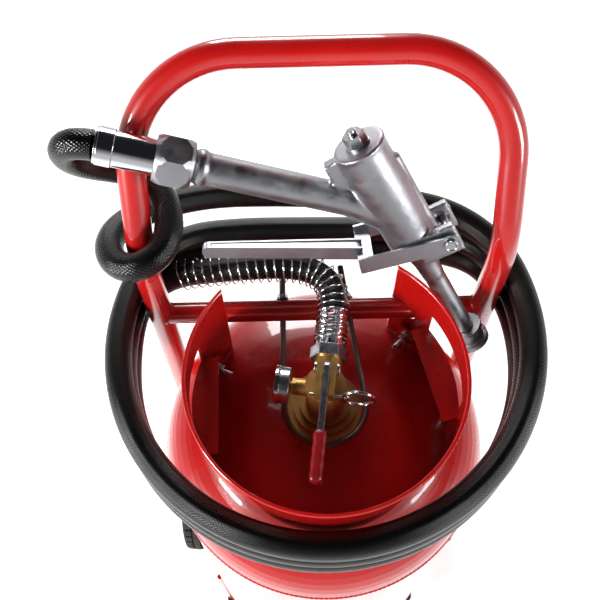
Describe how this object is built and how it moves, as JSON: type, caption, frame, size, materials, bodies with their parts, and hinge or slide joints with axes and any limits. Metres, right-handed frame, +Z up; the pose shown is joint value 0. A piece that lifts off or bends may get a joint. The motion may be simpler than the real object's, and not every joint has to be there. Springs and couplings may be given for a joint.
{
  "type": "wheeled dry-powder fire extinguisher",
  "caption": "Upright pressure cylinder on a wheeled tube trolley, with a guarded brass valve, a gauge, a coiled hose and a squeeze-lever powder gun.",
  "frame": {"origin": "middle of the footprint on the floor, without the hose", "axes": "+Z up, the push handle and wheels towards +Y, the wheels' axle along X"},
  "size_m": [0.488, 0.3852, 1.0917],
  "materials": {
    "red_paint": "gloss enamel",
    "zinc_steel": "bright zinc plate",
    "dark_rod": "dull black oxide",
    "wheel_paint": "satin enamel",
    "tyre_rubber": "moulded rubber",
    "nylon": "natural nylon",
    "black_rubber": "moulded rubber",
    "hose_rubber": "cloth-textured rubber",
    "brass": "turned brass",
    "red_vinyl": "dipped vinyl",
    "chrome": "polished plate",
    "dial_white": "printed card",
    "needle_black": "matt black",
    "lens": "clear polycarbonate",
    "cast_alloy": "bead-blasted casting"
  },
  "bodies": {
    "trolley": {"tank_shell": "red_paint", "neck_boss": "red_paint", "collar": "red_paint", "collar_lugs": "red_paint", "collar_bolts": "zinc_steel", "handle_frame": "red_paint", "neck_bar": "red_paint", "rear_straps": "red_paint", "front_feet": "red_paint", "foot_pads": "black_rubber", "axle": "zinc_steel", "axle_spacers": "zinc_steel", "axle_washers": "zinc_steel", "split_pins": "zinc_steel", "neck_clamp": "dark_rod", "neck_clamp_nuts": "zinc_steel", "neck_seal": "black_rubber", "valve_body": "brass", "siphon_tube": "zinc_steel", "valve_spring": "zinc_steel", "lever_pivot": "zinc_steel", "gauge_stem": "brass", "gauge_case": "chrome", "gauge_dial": "dial_white", "gauge_lens": "lens", "outlet_nut": "zinc_steel", "outlet_ferrule": "chrome", "spring_guard": "chrome", "hose_lead": "hose_rubber", "hose_coil": "hose_rubber", "hose_tail": "hose_rubber", "gun_ferrule": "chrome", "gun_nut": "cast_alloy", "gun_inlet": "cast_alloy", "gun_body": "cast_alloy", "gun_cap": "zinc_steel", "gun_tip": "chrome", "gun_spring": "zinc_steel", "gun_lever_pin": "zinc_steel"},
    "wheel_left": {"tyre_left": "tyre_rubber", "wheel_disc_left": "wheel_paint", "wheel_bush_left": "nylon"},
    "wheel_right": {"tyre_right": "tyre_rubber", "wheel_disc_right": "wheel_paint", "wheel_bush_right": "nylon"},
    "valve_lever": {"valve_lever": "zinc_steel", "lever_grip": "red_vinyl"},
    "valve_stem": {"valve_stem": "zinc_steel"},
    "safety_pin": {"safety_pin": "zinc_steel"},
    "gauge_needle": {"gauge_needle": "needle_black"},
    "gun_lever": {"gun_lever": "cast_alloy"},
    "gun_piston": {"gun_piston": "zinc_steel"}
  },
  "joints": [
    {"name": "wheel_left_spin", "type": "hinge", "parent": "trolley", "child": "wheel_left", "pos_m": [-0.208, 0.07534, 0.1], "axis": [1, 0, 0], "continuous": true},
    {"name": "wheel_right_spin", "type": "hinge", "parent": "trolley", "child": "wheel_right", "pos_m": [0.208, 0.07534, 0.1], "axis": [1, 0, 0], "continuous": true},
    {"name": "valve_lever_press", "type": "hinge", "parent": "trolley", "child": "valve_lever", "pos_m": [0.00157, -0.01077, 0.868], "axis": [0.9914, -0.1305, 0], "range_deg": [0, 12], "stiffness_Nm_per_rad": 1.2, "springref_deg": -20.05},
    {"name": "valve_stem_slide", "type": "slide", "parent": "trolley", "child": "valve_stem", "axis": [0, 0, -1], "range_m": [0, 0.0033], "deforming": ["valve_spring"]},
    {"name": "safety_pin_pull", "type": "slide", "parent": "trolley", "child": "safety_pin", "axis": [0.9914, -0.1305, 0], "range_m": [0, 0.05]},
    {"name": "gauge_needle_turn", "type": "hinge", "parent": "trolley", "child": "gauge_needle", "pos_m": [-0.03867, -0.01757, 0.845], "axis": [-0.9914, 0.1305, 0], "range_deg": [-100, 80], "stiffness_Nm_per_rad": 0.01},
    {"name": "gun_lever_squeeze", "type": "hinge", "parent": "trolley", "child": "gun_lever", "pos_m": [0.11053, 0.08916, 0.95075], "axis": [-0.0289, 0.9298, -0.3669], "range_deg": [0, 9], "stiffness_Nm_per_rad": 2, "springref_deg": -20.05},
    {"name": "gun_piston_slide", "type": "slide", "parent": "trolley", "child": "gun_piston", "axis": [-0.4636, 0.3127, 0.829], "range_m": [0, 0.0052], "deforming": ["gun_spring"]}
  ],
  "couplings": [
    {"joint": "valve_stem_slide", "follows": "valve_lever_press", "m_per_rad": 0.0155},
    {"joint": "gun_piston_slide", "follows": "gun_lever_squeeze", "m_per_rad": 0.033}
  ]
}
